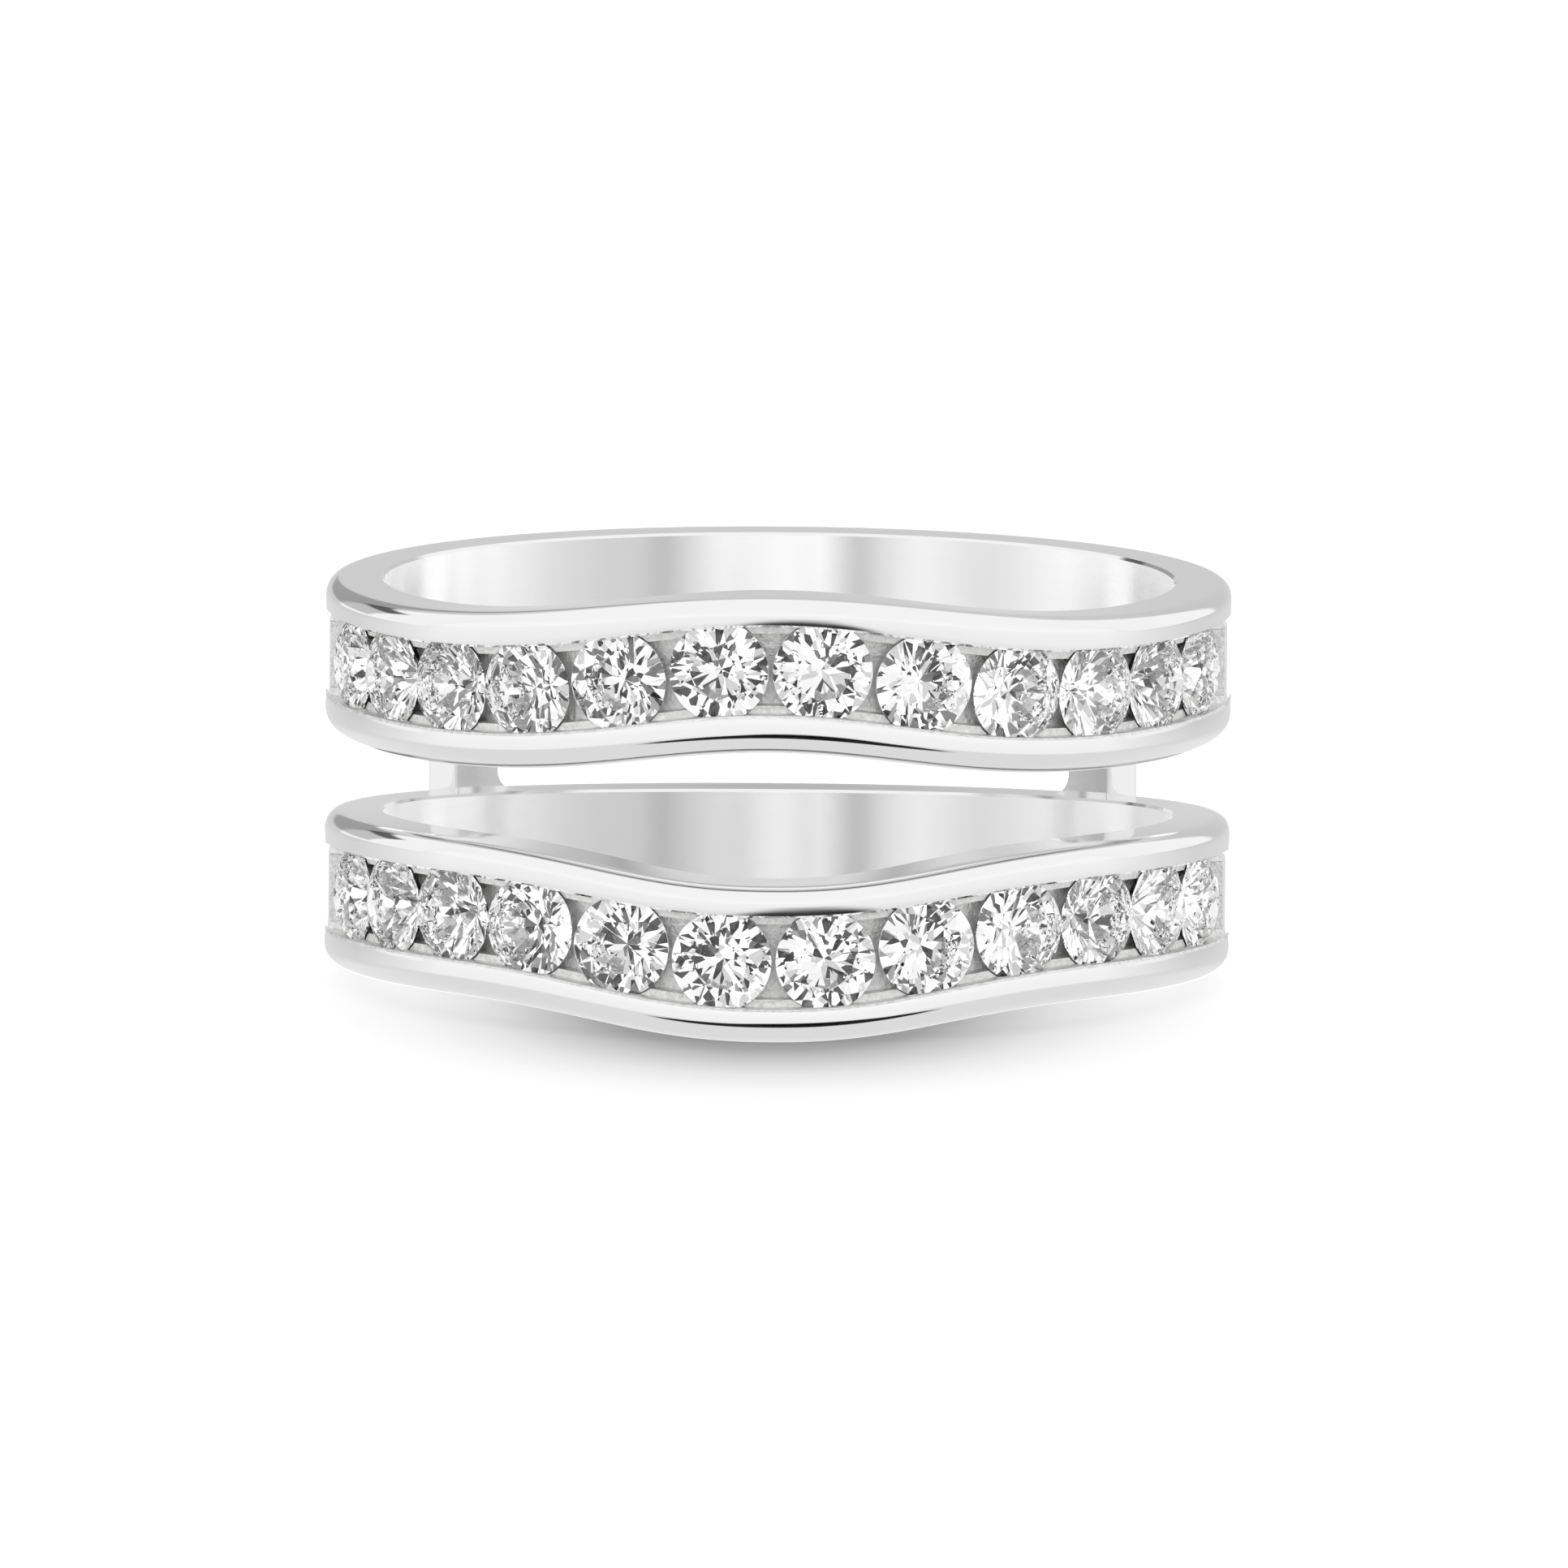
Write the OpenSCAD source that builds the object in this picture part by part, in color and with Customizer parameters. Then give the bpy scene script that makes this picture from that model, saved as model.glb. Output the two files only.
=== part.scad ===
// Ring guard enhancer: two contoured bands, each with a row of round stones held in an open channel
// between two rails, joined behind by two short bridges. A plain solitaire ring slides in between them.
// Millimetres. The ring lies on its side on the plane z = 0, with the finger axis upright along Z, the
// stones to the front (-Y) and the bridges behind. Angles run round the finger axis from the front.

/* [Finger hole] */
// Inside diameter of the finger hole
hole_diameter = 17.3; // [17:0.1:20]
// Bevel along the inner edges of both bands
inner_bevel = 0.06; // [0.02:0.01:0.12]

/* [Band wall] */
// Wall thickness behind the middle stones
wall_front = 1.75; // [1.6:0.05:2.4]
// Wall thickness at the sides of the finger
wall_side = 1.3; // [1.28:0.02:1.8]
// Wall thickness at the back of the finger
wall_back = 1.44; // [1.2:0.02:2]
// How quickly the wall thins away from the front and the back
wall_fade = 1.5; // [1.2:0.1:2.5]
// Radius of the rounded outer edges
edge_radius = 0.38; // [0.2:0.02:0.42]

/* [Stones] */
// Number of stones in each band, an even number
stones_per_band = 12; // [6:2:12]
// Girdle diameter of a stone
stone_diameter = 2.18; // [2.1:0.02:2.2]
// Distance from stone to stone along the row
stone_pitch = 2.26; // [2.26:0.01:2.3]
// How far the lower row of stones sits to the right of the middle
lower_row_offset = 0.1; // [-0.2:0.02:0.2]
// Depth of the tables below the outer face of the rails
table_recess = 0.01; // [0:0.01:0.05]
// Gap between a stone and its seat
seat_gap = 0.025; // [0.02:0.005:0.04]

/* [Channel] */
// Depth of the channel floor between the stones
channel_depth = 0.62; // [0.5:0.02:0.7]
// Depth of the ledge along both sides of the channel, where the girdles rest
ledge_depth = 0.36; // [0.3:0.02:0.44]
// Width of that ledge
ledge_width = 0.18; // [0.1:0.01:0.24]
// Small bevel along the rail edges that face the stones
rail_bevel = 0.05; // [0.02:0.01:0.08]
// Angle from the front to each end of the channel
channel_end = 80; // [80:1:86]
// Depth of the shallow recess that carries on past the last stone
side_recess = 0.08; // [0.04:0.01:0.12]
// Angle at which that recess has run out
recess_end = 112; // [100:1:125]

/* [Bridges] */
// Angle from the front to the front face of each bridge
bridge_angle = 128.4; // [118:0.2:140]
// Width of a bridge along the band
bridge_width = 1.5; // [1:0.05:2.4]
// Thickness of a bridge through the wall
bridge_thickness = 0.74; // [0.5:0.02:1]
// Radius of the fillet on the rear side of a bridge
bridge_fillet = 0.45; // [0.2:0.05:0.8]

/* [Hidden] */
// An edge line runs round the finger at this height: level + tilt * cos(angle) + bow * cos(angle)^2,
// plus a wave of the given height in front that fades out over the given angle.
LEVEL = 0;
TILT = 1;
BOW = 2;
WAVE = 3;
SPREAD = 4;
SHARPNESS = 5;
// Rows, from the top of a band down: top face, top and bottom of the channel, bottom face
TOP = 0;
CHANNEL_TOP = 1;
CHANNEL_BOTTOM = 2;
BOTTOM = 3;
//                level   tilt    bow   wave  spread sharpness
upper_lines = [
                [ 8.85,  0.05, -0.06,  0.89,  33,   2],
                [ 8.21,  0.00,  0.00,  0.92,  27,   2],
                [ 6.37,  0.00,  0.00,  0.82,  25,   2],
                [ 5.59, -0.06,  0.09,  0.72,  25,   2]];
lower_lines = [
                [ 3.70,  0.54, -0.15, -0.68,  25.5, 2.35],
                [ 2.99,  0.54, -0.15, -0.62,  25.5, 2.35],
                [ 1.15,  0.35,  0.00, -0.75,  25.5, 2.35],
                [ 0.36,  0.35,  0.00, -0.71,  25.5, 2.35]];

hole_radius = hole_diameter / 2;
// The bands start inside the hole by this much, and the bore reaches past them by the margin
bore_overrun = 0.2;
bore_margin = 1;
bore_top = 10;
bore_facets = 144;
seat_facets = 48;
front_sections = 42;
back_sections = 52;
// Angle that the end wall of the channel takes
channel_end_wall = 1.2;
// Share of the shallow recess, from its far end, over which it runs out
recess_fade_share = 0.5;
edge_steps = 4;
wall_draft = 0.02;

crown_height = 0.13 * stone_diameter;
girdle_height = 0.05;
pavilion_depth = 0.42 * stone_diameter;
table_radius = 0.28 * stone_diameter;
star_radius = 0.38 * stone_diameter;
lower_half_radius = 0.115 * stone_diameter;
girdle_radius = stone_diameter / 2;
half_sector = 22.5;
// Room at the tip and the lid of a seat, where its sloping sides need more than the gap
seat_end_gap = 1.5 * seat_gap;
// Each stone is turned about its own axis by this much more than its neighbour, with the lower row
// half a step on
turn_step = 37;
lower_row_turn = 0.5;

fillet_steps = 5;
bridge_sink = 0.25;
bridge_inset = 0.03;

metal = [0.86, 0.87, 0.88];
stone_white = [0.93, 0.96, 1.0];

function node_name(row, k) = str(row, k < 10 ? "_0" : "_", k);

// A point at a radius, an angle from the front and a height
function on_ring(radius, angle, z) = [radius * sin(angle), -radius * cos(angle), z];

// Height of an edge line at an angle from the front between -180 and 360
function signed_angle(angle) = angle > 180 ? angle - 360 : angle;
function wave_at(line, angle) =
    line[WAVE] * exp(-pow(abs(signed_angle(angle)) / line[SPREAD], line[SHARPNESS]));
function line_height(line, angle) =
    line[LEVEL] + line[TILT] * cos(angle) + line[BOW] * pow(cos(angle), 2) + wave_at(line, angle);

// Outer radius of the band, thickest in front where the stones sit deepest
function wall_at(angle) =
    wall_side + (cos(angle) > 0 ? wall_front - wall_side : wall_back - wall_side)
                * pow(abs(cos(angle)), wall_fade);
function outer_radius(angle) = hole_radius + wall_at(angle);

// Depth of the channel: full between its ends, then shallow until it runs out
function fade(t) = let (u = max(0, min(1, t))) u * u * (3 - 2 * u);
function channel_depth_at(angle) =
    let (a = abs(signed_angle(angle)))
    a <= channel_end ? channel_depth
                     : side_recess * fade((recess_end - a) / (recess_end - channel_end)
                                          / recess_fade_share);

// One section of a band as points of radius and height, from the bottom inner edge outwards and up
function rounded_edge(radius, z, from) =
    [for (k = [0 : edge_steps])
        let (a = from + 90 * k / edge_steps)
        [radius + edge_radius * cos(a), z + edge_radius * sin(a)]];
function band_section(lines, angle) =
    let (top = line_height(lines[TOP], angle),
         bottom = line_height(lines[BOTTOM], angle),
         channel_top = line_height(lines[CHANNEL_TOP], angle),
         channel_bottom = line_height(lines[CHANNEL_BOTTOM], angle),
         outer = outer_radius(angle),
         depth = channel_depth_at(angle),
         ledge = min(ledge_depth, depth),
         bevel = min(rail_bevel, depth),
         reach = inner_bevel + bore_overrun)
    concat(
        [[hole_radius - bore_overrun, bottom + reach], [hole_radius + inner_bevel, bottom]],
        rounded_edge(outer - edge_radius, bottom + edge_radius, -90),
        [[outer, channel_bottom - rail_bevel],
         [outer - bevel, channel_bottom],
         [outer - ledge, channel_bottom + wall_draft],
         [outer - ledge, channel_bottom + ledge_width],
         [outer - depth, channel_bottom + ledge_width + wall_draft],
         [outer - depth, channel_top - ledge_width - wall_draft],
         [outer - ledge, channel_top - ledge_width],
         [outer - ledge, channel_top - wall_draft],
         [outer - bevel, channel_top],
         [outer, channel_top + rail_bevel]],
        rounded_edge(outer - edge_radius, top - edge_radius, 0),
        [[hole_radius + inner_bevel, top], [hole_radius - bore_overrun, top - reach]]);

// Sections round the band: evenly along the channel, then evenly round the plain back
back_start = channel_end + channel_end_wall;
section_angles = concat(
    [for (k = [0 : front_sections]) -channel_end + 2 * channel_end * k / front_sections],
    [for (k = [0 : back_sections]) back_start + (360 - 2 * back_start) * k / back_sections]);

// Skin over a ring of equal sections, closed on itself
module closed_loft(sections) {
    rows = len(sections);
    columns = len(sections[0]);
    faces = [for (i = [0 : rows - 1], j = [0 : columns - 1])
        let (a = i * columns + j,
             b = i * columns + (j + 1) % columns,
             c = (i + 1) % rows * columns + (j + 1) % columns,
             d = (i + 1) % rows * columns + j)
        each [[a, b, c], [a, c, d]]];
    polyhedron([for (section = sections) each section], faces, convexity = 8);
}

// Skin over a stack of equal sections with flat ends, the first at the bottom
module open_loft(sections) {
    rows = len(sections);
    columns = len(sections[0]);
    faces = concat(
        [[for (j = [0 : columns - 1]) j]],
        [for (i = [0 : rows - 2], j = [0 : columns - 1])
            let (a = i * columns + j, b = i * columns + (j + 1) % columns)
            each [[a, a + columns, b + columns], [a, b + columns, b]]],
        [[for (j = [columns - 1 : -1 : 0]) (rows - 1) * columns + j]]);
    polyhedron([for (section = sections) each section], faces, convexity = 4);
}

module band_blank(lines) {
    closed_loft([for (angle = section_angles)
        [for (p = band_section(lines, angle)) on_ring(p[0], angle, p[1])]]);
}

// A bridge is a slab of the ring's wall: upright in front, with a fillet into both bands at the rear.
// A row of the fillet holds the distance from the band and how far the slab spreads there.
fillet_rows = concat([[-bridge_sink, bridge_fillet]],
    [for (k = [0 : fillet_steps])
        let (turn = 90 * k / fillet_steps)
        [bridge_fillet * (1 - cos(turn)), bridge_fillet * (1 - sin(turn))]]);
function bridge_section(row, line, direction) =
    let (outer = outer_radius(bridge_angle) - bridge_inset,
         inner = outer - bridge_thickness,
         turn = (bridge_width + row[1]) / outer * 180 / PI)
    [for (corner = [[inner, 0], [outer, 0], [outer, 0.5], [outer, 1], [inner, 1], [inner, 0.5]])
        let (angle = bridge_angle + turn * corner[1])
        on_ring(corner[0], angle, line_height(line, angle) + direction * row[0])];
module bridge() {
    last = len(fillet_rows) - 1;
    open_loft(concat(
        [for (row = fillet_rows) bridge_section(row, lower_lines[TOP], 1)],
        [for (k = [last : -1 : 0]) bridge_section(fillet_rows[k], upper_lines[BOTTOM], -1)]));
}

// Places of the stones: equal steps along the girdles, counted out from the middle of the row
function girdle_level(angle) =
    outer_radius(angle) - table_recess - crown_height - girdle_height / 2;
function place_from_middle(k) =
    k == 0 ? stone_pitch / 2 / girdle_level(0) * 180 / PI
           : let (last = place_from_middle(k - 1)) last + stone_pitch / girdle_level(last) * 180 / PI;
function row_offset(lines) = lines == lower_lines ? lower_row_offset / girdle_level(0) * 180 / PI : 0;
function stone_angle(lines, k) =
    let (half = stones_per_band / 2)
    row_offset(lines) + (k > half ? place_from_middle(k - half - 1) : -place_from_middle(half - k));

// Sets a stone or its seat in the channel, with its own Z pointing straight out of the ring
module at_stone(lines, k) {
    angle = stone_angle(lines, k);
    z = (line_height(lines[CHANNEL_TOP], angle) + line_height(lines[CHANNEL_BOTTOM], angle)) / 2;
    rotate([0, 0, angle])
        translate([0, -girdle_level(angle), z])
            rotate([90, 0, 0])
                children();
}

// The seat is the outline of a stone, turned and enlarged by the gap
module seat() {
    wide = girdle_radius + seat_gap;
    half = girdle_height / 2 + seat_gap;
    tip = girdle_height / 2 + pavilion_depth + seat_end_gap;
    lid = girdle_height / 2 + crown_height + seat_end_gap;
    rotate_extrude($fn = seat_facets)
        polygon([[0, -tip], [wide, -half], [wide, half], [table_radius + seat_gap, lid], [0, lid]]);
}

// Both bands and the two bridges, one soldered piece of metal
module guard_frame() {
    color(metal)
        difference() {
            union() {
                band_blank(upper_lines);
                band_blank(lower_lines);
                bridge();
                mirror([1, 0, 0])
                    bridge();
            }
            translate([0, 0, -bore_margin])
                cylinder(r = hole_radius, h = bore_top + 2 * bore_margin, $fn = bore_facets);
            for (lines = [upper_lines, lower_lines], k = [1 : stones_per_band])
                at_stone(lines, k)
                    seat();
        }
}

// Round brilliant: rings of corners from the table down to the culet, then the facets between them
function corner_ring(radius, z, turn, count) =
    [for (k = [0 : count - 1]) [radius * cos(turn + 360 / count * k), radius * sin(turn + 360 / count * k), z]];
module brilliant() {
    top = girdle_height / 2;
    star_z = top + crown_height * (girdle_radius - star_radius * cos(half_sector))
                   / (girdle_radius - table_radius);
    half_z = -top - pavilion_depth * (1 - lower_half_radius * cos(half_sector) / girdle_radius);
    table = 0;
    star = 8;
    upper = 16;
    lower = 32;
    pavilion = 48;
    culet = 56;
    points = concat(
        corner_ring(table_radius, top + crown_height, 0, 8),
        corner_ring(star_radius, star_z, half_sector, 8),
        corner_ring(girdle_radius, top, 0, 16),
        corner_ring(girdle_radius, -top, 0, 16),
        corner_ring(lower_half_radius, half_z, half_sector, 8),
        [[0, 0, -top - pavilion_depth]]);
    faces = concat(
        [[for (k = [7 : -1 : 0]) table + k]],
        [for (k = [0 : 7])
            let (next = (k + 1) % 8, main = 2 * k, half = 2 * k + 1, after = (2 * k + 2) % 16,
                 before = (k + 7) % 8)
            each [[table + k, table + next, star + k],
                  [table + k, star + k, upper + main, star + before],
                  [star + k, upper + half, upper + main],
                  [star + k, upper + after, upper + half],
                  [upper + main, upper + half, lower + half, lower + main],
                  [upper + half, upper + after, lower + after, lower + half],
                  [lower + main, lower + half, pavilion + k],
                  [lower + half, lower + after, pavilion + k],
                  [culet, pavilion + before, lower + main, pavilion + k]]]);
    polyhedron(points, faces, convexity = 2);
}

module stone(lines, k, row_turn) {
    color(stone_white)
        at_stone(lines, k)
            rotate([0, 0, (k + row_turn) * turn_step])
                brilliant();
}

guard_frame();
for (k = [1 : stones_per_band]) {
    stone(upper_lines, k, 0);
    stone(lower_lines, k, lower_row_turn);
}
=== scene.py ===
"""Looks for the ring guard enhancer: fine metal and cut stones, floor, light and camera."""

import math

import bmesh
import bpy
from mathutils import Matrix, Vector


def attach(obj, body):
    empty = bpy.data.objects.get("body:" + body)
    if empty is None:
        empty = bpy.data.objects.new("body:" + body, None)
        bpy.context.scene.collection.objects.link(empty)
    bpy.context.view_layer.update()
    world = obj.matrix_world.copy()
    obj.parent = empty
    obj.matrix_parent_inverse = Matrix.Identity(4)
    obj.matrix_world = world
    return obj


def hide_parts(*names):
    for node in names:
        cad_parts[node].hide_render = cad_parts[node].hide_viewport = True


MM = 0.001
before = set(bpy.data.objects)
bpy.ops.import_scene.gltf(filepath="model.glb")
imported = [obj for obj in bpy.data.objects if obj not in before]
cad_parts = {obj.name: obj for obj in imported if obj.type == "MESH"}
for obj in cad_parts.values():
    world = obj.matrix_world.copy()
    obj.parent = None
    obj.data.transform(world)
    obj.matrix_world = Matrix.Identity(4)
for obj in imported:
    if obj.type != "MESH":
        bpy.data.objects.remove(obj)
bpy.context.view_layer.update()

# Sizes in millimetres and angles in degrees, as in the part's source
HOLE_RADIUS = 17.3 / 2
INNER_BEVEL = 0.06
WALL_FRONT, WALL_SIDE, WALL_BACK, WALL_FADE = 1.75, 1.30, 1.44, 1.5
EDGE_RADIUS = 0.38
STONES_PER_BAND = 12
STONE_DIAMETER = 2.18
STONE_PITCH, LOWER_ROW_OFFSET = 2.26, 0.1
TABLE_RECESS = 0.01
SEAT_GAP = 0.025
CHANNEL_DEPTH, LEDGE_DEPTH, LEDGE_WIDTH = 0.62, 0.36, 0.18
RAIL_BEVEL = 0.05
CHANNEL_END, CHANNEL_END_WALL = 80.0, 1.2
SIDE_RECESS, RECESS_END = 0.08, 112.0
WALL_DRAFT = 0.02
BRIDGE_ANGLE, BRIDGE_WIDTH, BRIDGE_THICKNESS, BRIDGE_FILLET = 128.4, 1.5, 0.74, 0.45
BRIDGE_SINK, BRIDGE_INSET = 0.25, 0.03

CROWN_HEIGHT = 0.13 * STONE_DIAMETER
GIRDLE_HEIGHT = 0.05
PAVILION_DEPTH = 0.42 * STONE_DIAMETER
TABLE_RADIUS = 0.28 * STONE_DIAMETER
STAR_RADIUS = 0.38 * STONE_DIAMETER
LOWER_HALF_RADIUS = 0.115 * STONE_DIAMETER
GIRDLE_RADIUS = STONE_DIAMETER / 2
# Half of one of a brilliant's eight equal sectors
HALF_SECTOR = math.radians(22.5)
SEAT_END_GAP = 1.5 * SEAT_GAP
# How much further each stone is turned about its own axis, and the lower row's start in such steps
TURN_STEP, LOWER_ROW_TURN = 37, 0.5

# Edge lines of a band from its top down: level, tilt, bow, wave, spread, sharpness
TOP, CHANNEL_TOP, CHANNEL_BOTTOM, BOTTOM = range(4)
UPPER_LINES = (
    (8.85, 0.05, -0.06, 0.89, 33, 2),
    (8.21, 0.00, 0.00, 0.92, 27, 2),
    (6.37, 0.00, 0.00, 0.82, 25, 2),
    (5.59, -0.06, 0.09, 0.72, 25, 2),
)
LOWER_LINES = (
    (3.70, 0.54, -0.15, -0.68, 25.5, 2.35),
    (2.99, 0.54, -0.15, -0.62, 25.5, 2.35),
    (1.15, 0.35, 0.00, -0.75, 25.5, 2.35),
    (0.36, 0.35, 0.00, -0.71, 25.5, 2.35),
)


def line_height(line, angle):
    level, tilt, bow, wave, spread, sharpness = line
    signed = angle - 360 if angle > 180 else angle
    c = math.cos(math.radians(angle))
    return level + tilt * c + bow * c * c + wave * math.exp(-((abs(signed) / spread) ** sharpness))


def outer_radius(angle):
    c = math.cos(math.radians(angle))
    rise = (WALL_FRONT if c > 0 else WALL_BACK) - WALL_SIDE
    return HOLE_RADIUS + WALL_SIDE + rise * abs(c) ** WALL_FADE


def fade(t):
    """A smooth step from 0 at t = 0 to 1 at t = 1."""
    u = max(0.0, min(1.0, t))
    return u * u * (3 - 2 * u)


def channel_depth_at(angle):
    a = abs(angle - 360 if angle > 180 else angle)
    if a <= CHANNEL_END:
        return CHANNEL_DEPTH
    return SIDE_RECESS * fade((RECESS_END - a) / (RECESS_END - CHANNEL_END) * 2)


def on_ring(radius, angle, z):
    a = math.radians(angle)
    return (radius * math.sin(a), -radius * math.cos(a), z)


# Metal

# Points along each part of a band's section
ROUND_STEPS, RAIL_STEPS, FLAT_STEPS, BORE_STEPS = 10, 6, 3, 4
RAIL_BEVEL_DEPTH = 0.07
# Height of the rounding along the lower edge, which is flatter than the one along the upper edge
LOW_EDGE_HEIGHT = 0.44
# How far a rail's face leans over at its channel edge: the lower rail up, the upper one down,
# and how late that comes along the face
LOWER_RAIL_LEAN, UPPER_RAIL_LEAN = 11.0, 2.0
LOWER_RAIL_POWER, UPPER_RAIL_POWER = 1, 2


def rounded_edge(radius, z, height, start):
    """A quarter of an ellipse round (radius, z), from the direction start in degrees."""
    turns = [math.radians(start + 90 * k / ROUND_STEPS) for k in range(ROUND_STEPS + 1)]
    return [(radius + EDGE_RADIUS * math.cos(t), z + height * math.sin(t)) for t in turns]


def domed_rail(outer, z_start, z_end, lean, power):
    """A rail's face from the rounded edge to the channel edge, leaning inwards more and more."""
    run = z_end - z_start
    sag = math.radians(lean) * abs(run) / (power + 1)
    return [
        (outer - sag * (k / RAIL_STEPS) ** (power + 1), z_start + run * k / RAIL_STEPS)
        for k in range(1, RAIL_STEPS + 1)
    ]


def between(a, b, steps):
    """Points inside the straight run from a to b."""
    return [(a[0] + (b[0] - a[0]) * k / steps, a[1] + (b[1] - a[1]) * k / steps) for k in range(1, steps)]


def band_section(lines, angle):
    """The outline of a band cut at an angle, as (radius, z) from the bore's lower edge outwards."""
    top, channel_top, channel_bottom, bottom = (line_height(line, angle) for line in lines)
    outer = outer_radius(angle)
    depth = channel_depth_at(angle)
    ledge = min(LEDGE_DEPTH, depth)
    bevel = min(RAIL_BEVEL_DEPTH, depth)
    low_edge = rounded_edge(outer - EDGE_RADIUS, bottom + LOW_EDGE_HEIGHT, LOW_EDGE_HEIGHT, -90)
    high_edge = rounded_edge(outer - EDGE_RADIUS, top - EDGE_RADIUS, EDGE_RADIUS, 0)
    low_start, high_start = low_edge[-1][1], high_edge[0][1]
    low_rail = domed_rail(
        outer, low_start, channel_bottom - RAIL_BEVEL, LOWER_RAIL_LEAN, LOWER_RAIL_POWER)
    high_rail = domed_rail(
        outer, high_start, channel_top + RAIL_BEVEL, UPPER_RAIL_LEAN, UPPER_RAIL_POWER)
    channel = [
        (outer - bevel, channel_bottom),
        (outer - ledge, channel_bottom + WALL_DRAFT),
        (outer - ledge, channel_bottom + LEDGE_WIDTH),
        (outer - depth, channel_bottom + LEDGE_WIDTH + WALL_DRAFT),
        (outer - depth, channel_top - LEDGE_WIDTH - WALL_DRAFT),
        (outer - ledge, channel_top - LEDGE_WIDTH),
        (outer - ledge, channel_top - WALL_DRAFT),
        (outer - bevel, channel_top),
    ]
    inner_low = (HOLE_RADIUS, bottom + INNER_BEVEL)
    inner_high = (HOLE_RADIUS, top - INNER_BEVEL)
    bevel_low = (HOLE_RADIUS + INNER_BEVEL, bottom)
    bevel_high = (HOLE_RADIUS + INNER_BEVEL, top)
    return (
        [inner_low, bevel_low] + between(bevel_low, low_edge[0], FLAT_STEPS) + low_edge
        + low_rail + channel + high_rail[::-1]
        + high_edge + between(high_edge[-1], bevel_high, FLAT_STEPS) + [bevel_high, inner_high]
        + between(inner_high, inner_low, BORE_STEPS)
    )


FRONT_SECTIONS, BACK_SECTIONS = 300, 300
BACK_START = CHANNEL_END + CHANNEL_END_WALL
SECTION_ANGLES = (
    [-CHANNEL_END + 2 * CHANNEL_END * k / FRONT_SECTIONS for k in range(FRONT_SECTIONS + 1)]
    + [BACK_START + (360 - 2 * BACK_START) * k / BACK_SECTIONS for k in range(BACK_SECTIONS + 1)]
)


def mesh_from(name, points, faces):
    mesh = bpy.data.meshes.new(name)
    mesh.from_pydata([(x * MM, y * MM, z * MM) for x, y, z in points], [], faces)
    mesh.validate()
    return mesh


def band_parts(lines, first):
    """Points and faces of a band, its faces counted from the first point's number."""
    points, faces = [], []
    for angle in SECTION_ANGLES:
        points += [on_ring(r, angle, z) for r, z in band_section(lines, angle)]
    rows = len(SECTION_ANGLES)
    columns = len(points) // rows
    for i in range(rows):
        for j in range(columns):
            a, b = i * columns + j, i * columns + (j + 1) % columns
            c, d = (i + 1) % rows * columns + (j + 1) % columns, (i + 1) % rows * columns + j
            faces.append((first + a, first + d, first + c, first + b))
    return points, faces


FILLET_STEPS, BRIDGE_STEPS_ALONG, BRIDGE_STEPS_ACROSS = 8, 10, 4
BRIDGE_CORNER = 0.06
# How far the middle of a rounded corner stands off the square corner, as a share of its size
CORNER_BULGE = 0.3


def bridge_parts(side, first):
    """A bridge behind: a slab of the ring's wall with a fillet into both bands at its rear.

    side is 1 on the right and -1 on the left, where the mirrored faces keep their order.
    """
    along, across, corner = BRIDGE_STEPS_ALONG, BRIDGE_STEPS_ACROSS, BRIDGE_CORNER
    rows = [(-BRIDGE_SINK, BRIDGE_FILLET)]
    for k in range(FILLET_STEPS + 1):
        turn = math.radians(90 * k / FILLET_STEPS)
        rows.append((BRIDGE_FILLET * (1 - math.cos(turn)), BRIDGE_FILLET * (1 - math.sin(turn))))
    outer = outer_radius(BRIDGE_ANGLE) - BRIDGE_INSET
    inner = outer - BRIDGE_THICKNESS
    bulge = corner * CORNER_BULGE
    flat = BRIDGE_THICKNESS - 2 * corner
    outline = (
        [(inner, corner), (inner + bulge, bulge), (inner + corner, 0.0)]
        + [(inner + corner + flat * k / across, 0.0) for k in range(1, across)]
        + [(outer - corner, 0.0), (outer - bulge, bulge), (outer, corner)]
    )
    points = []
    sections = [(row, LOWER_LINES[TOP], 1) for row in rows]
    sections += [(row, UPPER_LINES[BOTTOM], -1) for row in rows[::-1]]
    for (distance, spread), line, direction in sections:
        length = BRIDGE_WIDTH + spread
        ring = list(outline)
        ring += [(outer, corner + (length - corner) * k / along) for k in range(1, along + 1)]
        ring += [(outer - BRIDGE_THICKNESS * k / across, length) for k in range(1, across)]
        ring += [(inner, length - (length - corner) * k / along) for k in range(along)]
        for radius, run in ring:
            angle = BRIDGE_ANGLE + math.degrees(run / outer)
            x, y, z = on_ring(radius, angle, line_height(line, angle) + direction * distance)
            points.append((side * x, y, z))
    columns = len(points) // len(sections)
    faces = [tuple(range(columns))]
    for i in range(len(sections) - 1):
        for j in range(columns):
            a, b = i * columns + j, i * columns + (j + 1) % columns
            faces.append((a, a + columns, b + columns, b))
    faces.append(tuple((len(sections) - 1) * columns + j for j in range(columns - 1, -1, -1)))
    if side > 0:
        faces = [f[::-1] for f in faces]
    return points, [tuple(first + i for i in f) for f in faces]


def joined(name, makers):
    """One object of several closed parts, each from a function of its first point's number."""
    points, faces = [], []
    for make in makers:
        more, more_faces = make(len(points))
        points += more
        faces += more_faces
    obj = bpy.data.objects.new(name, mesh_from(name, points, faces))
    bpy.context.scene.collection.objects.link(obj)
    return obj


# Places of the stones: equal steps along the girdles, counted out from the middle of the row

def girdle_level(angle):
    return outer_radius(angle) - TABLE_RECESS - CROWN_HEIGHT - GIRDLE_HEIGHT / 2


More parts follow.
